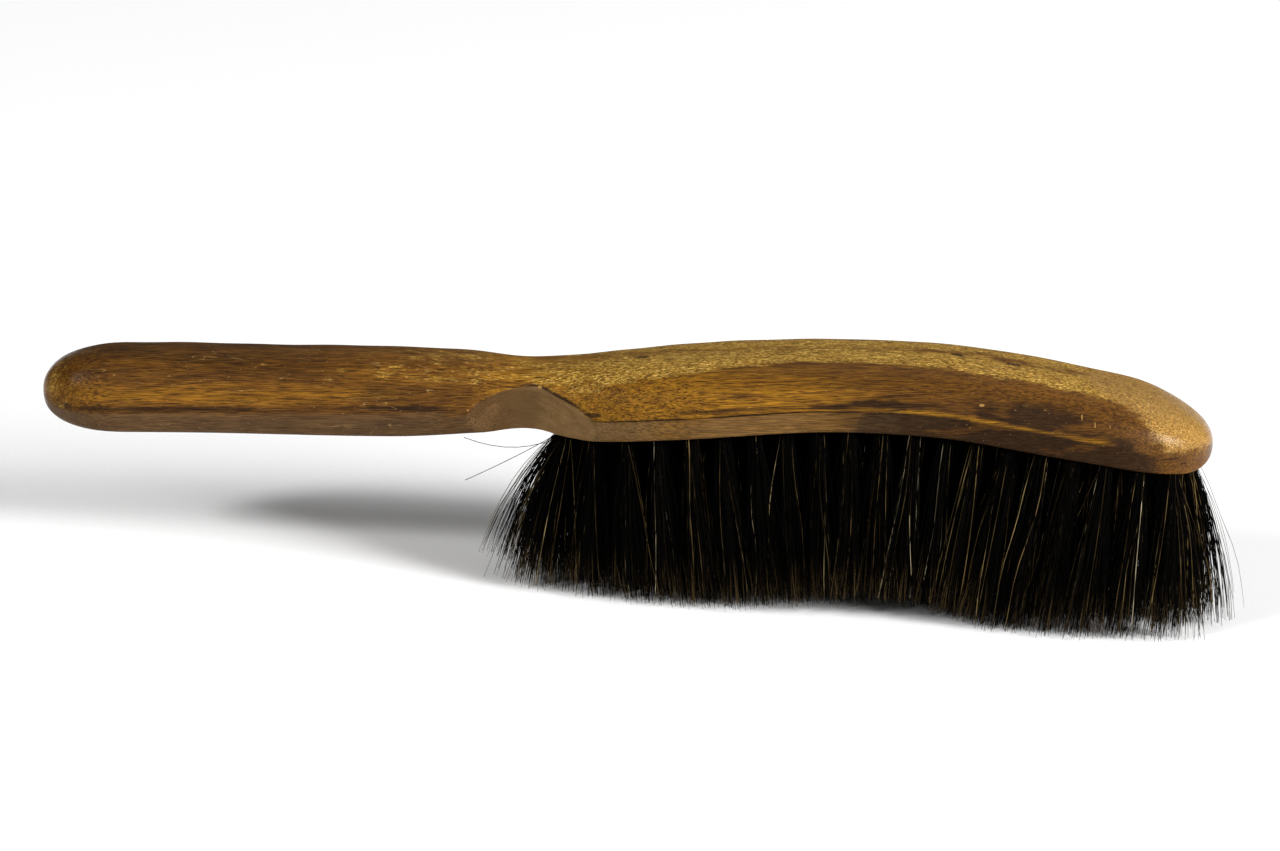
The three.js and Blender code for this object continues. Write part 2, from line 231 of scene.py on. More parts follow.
# ------------------------------------------------------------------ the wood's shape
CROWN_STEPS = 84
FLAT_STEPS = 22
BEVEL_STEPS = 9
ROUND_STEPS = 6


def corner(before, at, after, steps=ROUND_STEPS):
    """A rounded corner as a quadratic curve, in arrays over the stations: [(y, z), ...]."""
    found = []
    for t in np.linspace(0, 1, steps):
        a, b, c = (1 - t) ** 2, 2 * t * (1 - t), t * t
        found.append(tuple(a * p + b * q + c * r for p, q, r in zip(before, at, after)))
    return found


def straight(start, end, steps):
    """Points between start and end, without either."""
    parts = np.linspace(0, 1, steps + 2)[1:-1]
    return [tuple(p + (q - p) * t for p, q in zip(start, end)) for t in parts]


def mirrored(half):
    """The other side of half a run, so that the whole goes from one side to the other."""
    return half + [(-y, z) for y, z in reversed(half)]


def under(half):
    """The lower section from -y to +y, given its half at +y."""
    return mirrored([(-y, z) for y, z in half])


def crown(x, seam, soft):
    """The upper section from +y over the top to -y, starting soft above the seam."""
    w, h = width_at(x), top_at(x) - seam
    start = np.arcsin(np.clip(soft / h, 0, 0.5))
    run = []
    for k in range(CROWN_STEPS + 1):
        angle = start + (math.pi - 2 * start) * k / CROWN_STEPS
        c, s = np.cos(angle), np.sin(angle)
        reach = (np.abs(c) ** CROWN + np.abs(s) ** CROWN) ** (-1 / CROWN)
        run.append((w * c * reach, seam + h * s * reach))
    return run


def lower_half(x, arris):
    """From the seam's edge at +y down the bevel and along the flat to the middle."""
    w, low, seam = width_at(x), underside_at(x), seam_at(x)
    bevel, soft = bevel_at(x), corner_at(x)
    slope = bevel / BOARD_THICKNESS
    edge = corner((w, seam + arris), (w, seam), (w - arris * slope, seam - arris))
    foot = (w - bevel * (1 - soft), low + BOARD_THICKNESS * soft)
    flat = (w - bevel - BOARD_THICKNESS * soft, low)
    turn = corner(foot, (w - bevel, low), flat)
    middle = straight(flat, (np.zeros_like(w), low), FLAT_STEPS // 2)
    return edge, straight(edge[-1], foot, BEVEL_STEPS), turn, middle


def squeezed(x, run):
    """Applies the end roundings, and gives rings of (x, y, z)."""
    across, above, below = end_rounding(x)
    middle = middle_at(x)
    y = np.stack([p[0] for p in run], axis=1) * across[:, None]
    z = np.stack([p[1] + np.zeros_like(x) for p in run], axis=1)
    lift = z - middle[:, None]
    z = middle[:, None] + lift * np.where(lift > 0, above[:, None], below[:, None])
    return np.stack([np.broadcast_to(x[:, None], y.shape), y, z], axis=-1)


def scooped(rings, soft):
    """Presses the finger scoops into the sides, with their arris softened."""
    x, y, z = rings[..., 0], rings[..., 1], rings[..., 2]
    side = np.where(y < 0, -1.0, 1.0)
    dy, dz = SCOOP_AXIS[0] - np.abs(y), z - SCOOP_AXIS[1]
    away = np.hypot(dy, dz)
    radius = scoop_at(x)
    over = away - radius
    nearby = np.clip(soft - np.abs(over), 0, None)
    new = radius + np.maximum(over, 0) + nearby**2 / (4 * soft)
    inside = (x > SCOOP[0][0]) & (x < SCOOP[-1][0]) & (over < soft)
    scale = np.where(inside, new / away, 1)
    out = rings.copy()
    out[..., 1] = side * (SCOOP_AXIS[0] - dy * scale)
    out[..., 2] = SCOOP_AXIS[1] + dz * scale
    return out


def stations(start, end):
    """x of the sections: close together at the scoop and towards the rounded ends."""
    neck = np.arange(106, 160, 0.5)
    body = [np.arange(24, 106, 0.85), neck, np.arange(160, 289, 0.85)]
    curl = 1 - np.cos(np.linspace(0, math.pi / 2, 44))
    handle = 0.06 + (24 - 0.06) * curl
    nose = (LENGTH - 0.05) - (LENGTH - 289) * curl[::-1]
    x = np.unique(np.round(np.concatenate([handle, *body, nose]), 3))
    x = x[np.concatenate([[True], np.diff(x) > 0.02])]
    return x[(x > start) & (x < end)]


def seam_shows(x):
    """1 where the glue seam has opened a little, 0 where it is closed."""
    return 0.12 + 0.88 * step(x, 147, 153) * step(x, 235, 210)


SEAM_GAP = 0.08                     # half of the seam's opening where it shows
SEAM_EDGE = 0.26                    # softness of the edges along it there
ARRIS = 1.1                         # softness of the handle's lower arris
SCOOP_SOFT = 0.55


def wooden_back():
    """The handle and the back in one piece, hollowed over the tuft holes."""
    before = np.append(stations(0, BOARD_START - 0.2), BOARD_START - 0.05)
    after = np.concatenate([[BOARD_START - 0.04], stations(BOARD_START + 0.2, LENGTH)])

    seam = seam_at(before)
    edge, bevel, turn, middle = lower_half(before, ARRIS)
    first = squeezed(before, crown(before, seam, ARRIS) + under(edge[1:] + bevel + turn + middle))

    x = after
    w = width_at(x)
    gap, soft = SEAM_GAP * seam_shows(x), SEAM_EDGE * seam_shows(x)
    seam = seam_at(x) + gap
    ease = np.clip((x - RELIEF_ENDS[0]) / 2, 0, 1) * np.clip((RELIEF_ENDS[1] - x) / 2, 0, 1)
    depth = RELIEF_START + (RELIEF_DEPTH - RELIEF_START) * ease
    wall = np.minimum(half_width_at(x) - RELIEF_MARGIN, scooped_width(x, seam) - SCOOP_WALL)
    wall = np.maximum(wall, 1) / np.maximum(end_rounding(x)[0], 0.05)
    edge = corner((w, seam + soft), (w, seam), (w - soft, seam))
    margin = straight(edge[-1], (wall, seam), BEVEL_STEPS)
    inner = (wall - RELIEF_DRAFT, seam + depth)
    riser = straight((wall, seam), inner, ROUND_STEPS)
    ceiling = straight(inner, (np.zeros_like(w), seam + depth), FLAT_STEPS // 2)
    second = squeezed(x, crown(x, seam, soft) + under(edge[1:] + margin + riser + ceiling))
    rings = scooped(np.concatenate([first, second]), SCOOP_SOFT)
    vertices, faces = close_rings(rings)
    piece = new_object("wooden_back", stand(worn(vertices)), faces)
    outward(piece)
    return piece


def drilled_board():
    """The bristle board, with a hole for each tuft."""
    x = np.concatenate([[BOARD_START - 0.03], stations(BOARD_START + 0.3, LENGTH - 0.05)])
    w = width_at(x)
    gap, soft = SEAM_GAP * seam_shows(x), SEAM_EDGE * seam_shows(x)
    seam = seam_at(x) - gap
    _, _, turn, middle = lower_half(x, ARRIS)
    slope = bevel_at(x) / BOARD_THICKNESS
    corner_at_seam = (w - gap * slope, seam)
    inner = (w - soft, seam)
    outer = (w - (gap + soft) * slope, seam - soft)
    rounding = corner(inner, corner_at_seam, outer)
    foot = turn[0]
    half = rounding + straight(rounding[-1], foot, BEVEL_STEPS) + turn + middle
    lid = straight((w - soft, seam), (-(w - soft), seam), FLAT_STEPS)
    rings = scooped(squeezed(x, lid + under(half)), SCOOP_SOFT)
    vertices, faces = close_rings(rings)
    piece = new_object("drilled_board", stand(worn(vertices)), faces)
    outward(piece)

    drills = drill_bits()
    cut = piece.modifiers.new("holes", "BOOLEAN")
    cut.operation = "DIFFERENCE"
    cut.solver = "MANIFOLD"
    cut.object = drills
    apply_modifiers(piece)
    bpy.data.objects.remove(drills)
    return piece


def apply_modifiers(piece):
    bpy.context.view_layer.update()
    depsgraph = bpy.context.evaluated_depsgraph_get()
    mesh = bpy.data.meshes.new_from_object(piece.evaluated_get(depsgraph))
    piece.modifiers.clear()
    piece.data = mesh


def worn(points):
    """The slight unevenness of hand-shaped, much handled wood, in mm."""
    x, y, z = points.T
    wave = 0.10 * np.sin(x / 17 + y / 9) + 0.07 * np.sin(x / 7.3 - z / 5 + 1.3)
    wave += 0.05 * np.sin(x / 3.1 + y / 4.3 + z / 3.7)
    axis = np.c_[np.zeros_like(x), y, (z - middle_at(x)) * 1.2]
    size = np.linalg.norm(axis, axis=1, keepdims=True)
    keep = np.clip(size[:, 0] / 6, 0, 1) * (z > seam_at(x) + 0.5)
    return points + axis / np.maximum(size, 1e-6) * (wave * keep)[:, None]


# ------------------------------------------------------------------ tufts
def tuft(rank, row):
    """A tuft's mouth (x, y, z), the hole's tilt, the lean to the tips and the tips' y."""
    x = FIRST_RANK + rank * RANK_PITCH + (RANK_PITCH / 2 if row % 2 else 0)
    across = 2 * row / (ROWS - 1) - 1
    near_scoop = scooped_width(x - HOLE_RADIUS, underside_at(x)) - HOLE_RADIUS - SCOOP_WALL
    y = across * float(min(half_width_at(x) - ROW_MARGIN, near_scoop))
    square = math.atan(float(underside_at(x + 0.5) - underside_at(x - 0.5)))
    share = 1 + (OUTER_LEAN - 1) * across * across
    fan = math.radians(float(lean_at(x))) * share
    tip_y = across * TIP_SPACING * (ROWS - 1) / 2 * float(tip_width_at(x))
    return np.array([x, y, float(underside_at(x))]), square, fan, tip_y


HOLE_SIDES = 20
FLARE = 1.22                        # the holes' worn mouths against their radius
DRILL = [(-BOARD_THICKNESS - 2, 1), (-0.35, 1), (0.25, FLARE), (2, FLARE)]  # (depth, width)


def drill_bits():
    """All the tuft holes as one cutter."""
    vertices, faces = [], []
    turns = np.linspace(0, 2 * math.pi, HOLE_SIDES, endpoint=False)
    for rank in range(RANKS):
        for row in range(ROWS):
            mouth, square, _, _ = tuft(rank, row)
            along = np.array([math.cos(square), 0, math.sin(square)])
            down = np.array([math.sin(square), 0, -math.cos(square)])
            circle = np.cos(turns)[:, None] * along + np.sin(turns)[:, None] * [0, 1, 0]
            start = len(vertices) * (HOLE_SIDES * len(DRILL) + 2)
            rings = np.array([
                mouth + down * depth + circle * HOLE_RADIUS * wide for depth, wide in DRILL
            ])
            points, skin = close_rings(rings)
            vertices.append(stand(points))
            faces += [[k + start for k in face] for face in skin]
    drills = new_object("drill_bits", np.vstack(vertices), faces)
    outward(drills)
    return drills


def tip_x(rank, row):
    mouth, square, fan, _ = tuft(rank, row)
    return mouth[0] + math.sin(square + fan) * BRISTLE_LENGTH


def tip_half(rank):
    """Half the thickness of a rank at its tips, leaving a gap to the ranks beside it."""
    room = [abs(tip_x(rank, row) - tip_x(other, row))
            for other in (rank - 1, rank + 1) if 0 <= other < RANKS for row in range(ROWS)]
    return (min(room) - TIP_GAP) / 2


BRISTLES = 190                      # bristles in a tuft
BRISTLE_STEPS = 9
BRISTLE_SIDES = 3
SEED = 20
STRAND_MAP = "OFBake"               # each bristle's tone and the place along it


def strand_mesh(name, paths, radii, tones):
    """One mesh of many bristles. paths (n, steps, 3) in mm, radii (n, steps), tones (n,)."""
    count, steps = paths.shape[:2]
    ahead = np.gradient(paths, axis=1)
    ahead /= np.linalg.norm(ahead, axis=2, keepdims=True)
    side = np.cross(ahead, [0.0, 1.0, 0.0])
    side /= np.linalg.norm(side, axis=2, keepdims=True)
    other = np.cross(ahead, side)
    turns = np.linspace(0, 2 * math.pi, BRISTLE_SIDES, endpoint=False)[None, :]
    turns = turns + tones[:, None] * 9
    ring = (np.cos(turns)[:, None, :, None] * side[:, :, None, :]
            + np.sin(turns)[:, None, :, None] * other[:, :, None, :])
    points = paths[:, :, None, :] + ring * radii[:, :, None, None]
    ids = np.arange(count * steps * BRISTLE_SIDES).reshape(count, steps, BRISTLE_SIDES)
    turned = np.roll(ids, -1, axis=2)
    quads = np.stack([ids[:, :-1], turned[:, :-1], turned[:, 1:], ids[:, 1:]], axis=-1)
    faces = quads.reshape(-1, 4).tolist()
    faces += ids[:, 0, ::-1].tolist() + ids[:, -1].tolist()
    piece = new_object(name, stand(points), faces)
    piece.data.shade_smooth()

    along = np.broadcast_to(np.linspace(0, 1, steps)[None, :, None], ids.shape).reshape(-1)
    tone = np.broadcast_to(tones[:, None, None], ids.shape).reshape(-1)
    corners = np.zeros(len(piece.data.loops), int)
    piece.data.loops.foreach_get("vertex_index", corners)
    layer = piece.data.uv_layers.new(name=STRAND_MAP)
    layer.data.foreach_set("uv", np.c_[tone[corners], along[corners]].astype(np.float32).ravel())
    return piece


# How long each rank still is against BRISTLE_LENGTH: worn short at the ends and in the middle.
length_share = through([
    (0, 0.87), (1, 0.93), (2, 0.98), (4, 1), (7, 1), (9, 0.98), (11, 0.975), (13, 1.005),
    (15, 1.05), (17, 1.04), (18, 1.01), (19, 0.985),
])
END_RANKS = (0, 1, RANKS - 1)
NOSE_SPREAD = 1.15                  # how much wider the last rank spreads past the nose
FRONT_SPLAY = 6                     # how far the front row spreads out further by the nose, mm
ROOT_DEPTH = 2                      # how deep the bristles start in their hole, mm
THICKNESS = (0.07, 0.115)           # radius at the root, mm, the thinnest and the thickest
TAPER = 0.4
WILD_SHARE, WILD_TONE = 0.09, 0.975             # bristles that leave their tuft
WILD_SPREAD, WILD_END_SPREAD, WILD_CURL = 1.7, 1.3, 2.5
SHORT_SHARE, SHORTNESS = 0.20, (0.78, 0.99)     # broken and worn bristles
PALE_TONE, PALE_WIDTH = 0.95, 1.15              # pale bristles are thicker
HIGH_SHARE, HIGH_GAP, LOW_GAP = 0.45, 4.2, 1.4  # where the tips end above the table, mm


def tuft_bristles(rng, rank, row):
    """The paths, radii and tones of the bristles of one tuft."""
    n = BRISTLES
    mouth, square, fan, tip_y = tuft(rank, row)
    splay = FRONT_SPLAY * float(step(rank, 11, 18)) if row == 0 else 0
    half = tip_half(rank)
    spot = rng.uniform(0, 2 * math.pi, n)
    out = np.sqrt(rng.uniform(0, 1, n))
    u, v = out * np.cos(spot), out * np.sin(spot)
    tip_u = np.clip(u * 0.7 + rng.normal(0, 0.55, n), -1.5, 1.5) * half * 1.1
    tip_v = np.clip(v * 0.6 + rng.normal(0, 0.5, n), -1.4, 1.4) * TIP_SPACING * 0.5
    tone = rng.uniform(0, 1, n)
    wild = (rng.uniform(0, 1, n) < WILD_SHARE) | (tone > WILD_TONE)
    wild_spread = WILD_END_SPREAD if rank in END_RANKS else WILD_SPREAD
    tip_u = np.where(wild, tip_u * wild_spread, tip_u)
    tip_u = np.where(tip_u > 0, tip_u * (NOSE_SPREAD if rank == RANKS - 1 else 1), tip_u)
    length = BRISTLE_LENGTH * (1 + rng.normal(0, 0.010, n))
    short = rng.uniform(0, 1, n) < SHORT_SHARE
    length = np.where(short, length * rng.uniform(*SHORTNESS, n), length)
    length *= float(length_share(rank))
    wave = rng.normal(0, 0.34, (n, 2))
    phase = rng.uniform(0, 2 * math.pi, (n, 1))
    waves = rng.uniform(0.6, 1.7, (n, 1))
    thick = rng.uniform(*THICKNESS, n) * np.where(tone > PALE_TONE, PALE_WIDTH, 1)

    s = np.linspace(0, 1, BRISTLE_STEPS)[None, :]
    depth = -ROOT_DEPTH + (length[:, None] + ROOT_DEPTH) * s
    free = np.clip(depth / BRISTLE_LENGTH, 0, 1.1)
    line = square + np.where(depth > 0, fan * (1 + BOW * (1 - free)), 0)
    weave = np.sin(free * waves * 2 * math.pi + phase) - np.sin(phase)
    eased = free**0.8
    curl = rng.normal(0, 1.1, (n, 1)) * (free**2 - free)
    a = (u * TUFT_RADIUS)[:, None] * (1 - eased) + tip_u[:, None] * eased + wave[:, :1] * weave
    a = a + curl * np.where(wild, WILD_CURL, 1)[:, None]
    b = (v * TUFT_RADIUS)[:, None] * (1 - eased) + tip_v[:, None] * eased + wave[:, 1:] * weave
    x = mouth[0] + np.sin(line) * depth + a * np.cos(line)
    y = mouth[1] + (tip_y - splay - mouth[1]) * free + b
    z = mouth[2] - np.cos(line) * depth + a * np.sin(line)
    return np.stack([x, y, z], axis=-1), thick[:, None] * (1 - TAPER * s**4), tone


# Bristles that stand out on their own: the rank, then root, middle and end in the brush's mm.
STRAYS = [(rank, np.array(points, float)) for rank, points in (
    (0, ((144, -3, 1), (131, -5, -6), (116, -6, 0.5))),
    (0, ((143.5, 2, 1), (132, 1, -6), (115.5, -1, -13))),
    (0, ((143, -4.5, 0), (139, -6, -3), (134, -7, -8))),
    (0, ((144, 4, 0), (133, 8, -14), (126, 11, -27))),
    (19, ((309, -8, -7), (316, -12, -28), (321.5, -14, -42))),
)]
STRAY_TONE, STRAY_RADIUS = 0.958, 0.12


def stray_bristles(rank):
    """The paths, radii and tones of each bristle that stands out of a rank."""
    s = np.linspace(0, 1, BRISTLE_STEPS)[None, :, None]
    found = []
    for number, (root, middle, end) in STRAYS:
        if number == rank:
            bent = (1 - s) ** 2 * root + 2 * s * (1 - s) * middle + s * s * end
            found.append((bent, np.full((1, BRISTLE_STEPS), STRAY_RADIUS), np.array([STRAY_TONE])))
    return found


def bristle_rank(rank):
    """The bristles of one rank of tufts, combed into a mass towards the tips."""
    rng = np.random.default_rng(SEED + rank)
    groups = [tuft_bristles(rng, rank, row) for row in range(ROWS)] + stray_bristles(rank)
    paths, radii, tones = (np.concatenate(parts) for parts in zip(*groups))
    gap = np.where(rng.uniform(0, 1, len(paths)) < HIGH_SHARE, HIGH_GAP, LOW_GAP)
    gap *= rng.uniform(0.1, 1, len(paths))
    number = f"{rank + 1:02d}"
    piece = strand_mesh(f"bristles_{number}", above_table(paths, gap), radii, tones)
    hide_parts(f"bristle_rank_{number}")
    return piece


def above_table(paths, gap):
    """Shortens each bristle so that it ends the given gap above the table, in mm."""
    heights = stand(paths.reshape(-1, 3))[:, 2].reshape(paths.shape[:2]) * 1000
    root, tip = heights[:, 0], heights[:, -1]
    keep = np.minimum((root - gap) / (root - tip), 1)
    steps = paths.shape[1]
    at = np.linspace(0, 1, steps)[None, :] * keep[:, None] * (steps - 1)
    low = np.minimum(at.astype(int), steps - 2)
    rows = np.arange(len(paths))[:, None]
    share = (at - low)[..., None]
    trimmed = paths[rows, low] * (1 - share) + paths[rows, low + 1] * share
    lift = gap[:, None] - stand(trimmed.reshape(-1, 3))[:, 2].reshape(paths.shape[:2]) * 1000
    trimmed[..., 2] += np.clip(lift, 0, None) / COS
    return trimmed


# ------------------------------------------------------------------ materials
class Shader:
    """One material's node tree, with short calls for the nodes it uses."""

    def __init__(self, name):
        self.material = bpy.data.materials.new(name)
        self.material.use_nodes = True
        self.tree = self.material.node_tree
        self.surface = self.tree.nodes["Principled BSDF"]

    def node(self, kind, inputs=(), **settings):
        node = self.tree.nodes.new(kind)
        for key, value in settings.items():
            setattr(node, key, value)
        for socket, value in dict(inputs).items():
            self.put(node.inputs[socket], value)
        return node

    def put(self, socket, value):
        if isinstance(value, bpy.types.NodeSocket):
            self.tree.links.new(value, socket)
        else:
            socket.default_value = value

    def attribute(self, name, output="Vector"):
        return self.node("ShaderNodeAttribute", attribute_name=name).outputs[output]

    def noise(self, vector, stretch, detail=3, rough=0.55, distort=0.0, offset=(0, 0, 0)):
        where = self.node("ShaderNodeVectorMath", {0: vector, 1: stretch, 2: offset},
                          operation="MULTIPLY_ADD").outputs[0]
        node = self.node("ShaderNodeTexNoise", {
            "Vector": where, "Scale": 1.0, "Detail": detail, "Roughness": rough,
            "Distortion": distort,
        })
        return node.outputs["Fac"]

    def math(self, operation, a, b=0.0):
        return self.node("ShaderNodeMath", {0: a, 1: b}, operation=operation).outputs[0]

    def ease(self, value, low, high):
        """0 up to low, 1 from high, smooth between. low may be the larger."""
        node = self.node("ShaderNodeMapRange", {
            "Value": value, "From Min": low, "From Max": high, "To Min": 0.0, "To Max": 1.0,
        }, interpolation_type="SMOOTHSTEP")
        return node.outputs["Result"]

    def ramp(self, value, stops):
        node = self.node("ShaderNodeValToRGB", {0: value})
        elements = node.color_ramp.elements
        while len(elements) < len(stops):
            elements.new(0.5)
        for element, (at, colour) in zip(elements, stops):
            element.position = at
            element.color = (*colour, 1)
        return node.outputs["Color"]

    def mix(self, share, a, b, blend="MIX"):
        node = self.node("ShaderNodeMix", data_type="RGBA", blend_type=blend)
        for socket, value in ((0, share), (6, a), (7, b)):
            if isinstance(value, tuple):
                value = (*value, 1)
            self.put(node.inputs[socket], value)
        return node.outputs[2]

    def spot(self, place, centre, size, ragged):
        """1 within an ellipsoid with a ragged rim, 0 outside it."""
        from_centre = self.node("ShaderNodeVectorMath", {0: place, 1: centre},
                                operation="SUBTRACT").outputs[0]
        shrunk = self.node("ShaderNodeVectorMath", {0: from_centre, 1: size},
                           operation="DIVIDE").outputs[0]
        away = self.node("ShaderNodeVectorMath", {0: shrunk}, operation="LENGTH").outputs["Value"]
        return self.ease(self.math("ADD", away, ragged), 1.15, 0.75)

    def bump(self, height, strength, distance):
        node = self.node("ShaderNodeBump", {
            "Strength": strength, "Distance": distance, "Height": height,
        })
        self.tree.links.new(node.outputs[0], self.surface.inputs["Normal"])


def rgb(red, green, blue):
    """A linear colour from 0-255 display values."""
    def linear(value):
        c = value / 255
        return c / 12.92 if c <= 0.04045 else ((c + 0.055) / 1.055) ** 2.4
    return (linear(red), linear(green), linear(blue))


def wood(name):
    """Stained, much handled hardwood: fine dark pores, rubbed pale and soiled dark by hands.
    Painted on it as well: warm painted light along the sides, a grey painted reflection on the
    bevels and scoops, painted shade along the handle's lower arris and a painted highlight at the
    handle's end.
    """
    s = Shader(name)
    grain = s.attribute("grain")
    # pale wear with a painted highlight, dirt with painted shade, and painted light; then the
    # bevels' grey, partly a painted reflection
    pale_and_highlight, dirt_and_shade, painted_light = s.node("ShaderNodeSeparateXYZ", {0: s.attribute("wear_and_light")}).outputs
    bevel, nose, dull = s.node("ShaderNodeSeparateXYZ", {0: s.attribute("shape")}).outputs
    sharp = s.math("SUBTRACT", 1.0, dull)

    blotch = s.noise(grain, (0.05, 0.17, 0.17), 5, 0.62, 0.4, (2, 9, 4))
    edge = s.noise(grain, (0.13, 0.42, 0.42), 5, 0.68, 0.0, (4, 1, 6))
    speck = s.noise(grain, (0.9, 2.2, 2.2), 4, 0.78, 0.0, (5, 5, 5))
    fibre = s.noise(grain, (0.15, 4.4, 4.4), 3, 0.6, 0.0, (0, 4, 2))
    pore = s.noise(grain, (0.20, 4.2, 4.2), 2, 0.45, 0.0, (1, 2, 3))
    pores = s.math("MULTIPLY", s.ease(pore, 0.57, 0.63), sharp)
    rubbed_and_highlight = s.math("ADD", pale_and_highlight, s.math("MULTIPLY", s.math("SUBTRACT", edge, 0.5), 1.25))
    rubbed_and_highlight = s.ease(rubbed_and_highlight, 0.16, 0.60)

    base = stained_wood(s, grain, painted_light)
    base = dirt_and_shade_wood(s, base, dirt_and_shade, blotch)
    base = rubbed_and_highlit_wood(s, base, rubbed_and_highlight, nose, edge, speck)
    base = greyed_and_sheen_wood(s, base, bevel, painted_light, blotch, edge)
    base = grained_wood(s, base, fibre, pores, dull)
    scratch = scratches(s, grain, dull)
    base = s.mix(s.math("MULTIPLY", scratch, 0.6), base, rgb(158, 126, 76))
    marks, chips = (ragged_spots(s, grain, speck, spots) for spots in (MARKS, CHIPS))
    base = s.mix(s.math("MULTIPLY", marks, 0.8), base, rgb(34, 20, 10))
    base = s.mix(s.math("MULTIPLY", chips, 0.7), base, rgb(160, 122, 68))
    s.put(s.surface.inputs["Base Color"], base)

    along = s.node("ShaderNodeSeparateXYZ", {0: grain}).outputs[0]
    polished = s.math("MAXIMUM", s.ease(along, 17, 7), s.ease(along, 296, 308))
    rough = s.math("ADD", 0.52, s.math("MULTIPLY", rubbed_and_highlight, 0.10))
    rough = s.math("SUBTRACT", rough, s.math("MULTIPLY", polished, 0.40))
    rough = s.math("ADD", rough, s.math("MULTIPLY", pores, 0.12))
    s.put(s.surface.inputs["Roughness"], rough)
    s.surface.inputs["Specular IOR Level"].default_value = 0.07

    height = s.math("ADD", s.math("MULTIPLY", fibre, 0.35), s.math("MULTIPLY", pores, -0.6))
    height = s.math("ADD", height, s.math("MULTIPLY", s.math("ADD", scratch, chips), -0.5))
    height = s.math("ADD", height, s.math("MULTIPLY", speck, 0.3))
    height = s.math("MULTIPLY", height, s.math("SUBTRACT", 1.0, s.math("MULTIPLY", dull, 0.7)))
    s.bump(height, 0.4, 0.0003)
    return s.material


def stained_wood(s, grain, painted_light):
    """The oiled brown of the wood with its broad figure, warmer where light is painted on it."""
    figure = s.noise(grain, (0.022, 0.26, 0.26), 4, 0.6, 0.4)
    streak = s.noise(grain, (0.06, 1.3, 1.3), 4, 0.62, 0.2, (7, 3, 1))
    base = s.ramp(figure, [
        (0.32, rgb(82, 51, 16)), (0.48, rgb(95, 61, 18)), (0.60, rgb(104, 68, 20)),
        (0.74, rgb(92, 57, 18)),
    ])
    base = s.mix(s.ease(streak, 0.45, 0.62), base, rgb(80, 50, 17))
    # painted light: a warmer, lit colour where the lit bands are painted
    painted_warm_light = s.math("MULTIPLY", painted_light, s.ease(streak, 0.72, 0.42))
    return s.mix(painted_warm_light, base, rgb(142, 99, 22))


def dirt_and_shade_wood(s, base, dirt_and_shade, blotch):
    """Dark with hand grease, in blotches, and painted shade along the handle's lower arris."""
    darkened = s.math("MULTIPLY", dirt_and_shade, s.math("ADD", 0.62, s.ease(blotch, 0.36, 0.60)))
    return s.mix(s.math("MINIMUM", darkened, 1.0), base, rgb(42, 26, 11))


def rubbed_and_highlit_wood(s, base, rubbed_and_highlight, nose, edge, speck):
    """Khaki where the finish is rubbed through and, at the handle's end, as a painted highlight;
    bare at the nose.
    """
    khaki = s.ramp(speck, [
        (0.38, rgb(90, 62, 20)), (0.47, rgb(138, 103, 36)), (0.54, rgb(168, 131, 52)),
        (0.63, rgb(220, 186, 106)),
    ])
    base = s.mix(s.math("MULTIPLY", rubbed_and_highlight, 0.85), base, khaki)
    bare = s.ramp(speck, [
        (0.34, rgb(104, 72, 30)), (0.5, rgb(138, 104, 50)), (0.68, rgb(164, 130, 76)),
    ])
    worn_nose = s.math("ADD", nose, s.math("MULTIPLY", s.math("SUBTRACT", edge, 0.5), 1.5))
    return s.mix(s.math("MULTIPLY", s.ease(worn_nose, 0.25, 0.85), 0.92), base, bare)


def greyed_and_sheen_wood(s, base, bevel, painted_light, blotch, edge):
    """The greyer wood of the bevels and the finger scoops, its grey partly a painted reflection of
    the white floor; browner where light is painted on it.
    """
    grey_sheen = s.ramp(blotch, [
        (0.35, rgb(66, 48, 29)), (0.52, rgb(80, 59, 36)), (0.66, rgb(93, 70, 43)),
    ])
    brown = s.ramp(edge, [(0.35, rgb(100, 76, 44)), (0.65, rgb(124, 97, 64))])
    return s.mix(s.math("MULTIPLY", bevel, 0.85), base, s.mix(painted_light, grey_sheen, brown))


def grained_wood(s, base, fibre, pores, dull):
    """The fine fibres and the dark open pores, both fainter on dull wood."""
    fine = s.ramp(fibre, [
        (0.36, (0.42, 0.38, 0.33)), (0.5, (1, 1, 1)), (0.65, (1.6, 1.6, 1.55)),
    ])
    base = s.mix(s.math("SUBTRACT", 0.9, s.math("MULTIPLY", dull, 0.75)), base, fine, "MULTIPLY")
    return s.mix(s.math("MULTIPLY", pores, 0.75), base, rgb(32, 18, 8))


def scratches(s, grain, dull):
    """Thin pale scratches on the handle and small flecks everywhere."""
    hair = s.noise(grain, (0.05, 0.34, 0.34), 2, 0.5, 0.9, (11, 4, 8))
    line = s.ease(s.math("ABSOLUTE", s.math("SUBTRACT", hair, 0.5)), 0.008, 0.002)
    where = s.ease(s.noise(grain, (0.11, 0.16, 0.16), 3, 0.6, 0.0, (3, 3, 9)), 0.50, 0.60)
    along = s.node("ShaderNodeSeparateXYZ", {0: grain}).outputs[0]
    scratch = s.math("MULTIPLY", line, s.math("MULTIPLY", where, s.ease(along, 155, 120)))
    fleck = s.ease(s.noise(grain, (0.9, 2.6, 2.6), 2, 0.5, 0.0, (9, 2, 2)), 0.70, 0.78)
    scratch = s.math("MAXIMUM", scratch, fleck)
    return s.math("MULTIPLY", scratch, s.math("SUBTRACT", 1.0, s.math("MULTIPLY", dull, 0.8)))


def ragged_spots(s, grain, speck, spots):
    """1 within any of the spots, whose rims are ragged with the speckle."""
    rag = s.math("MULTIPLY", s.math("SUBTRACT", speck, 0.5), 1.3)
    found = 0.0
    for centre, size in spots:
        found = s.math("MAXIMUM", found, s.spot(grain, centre, size, rag))
    return found


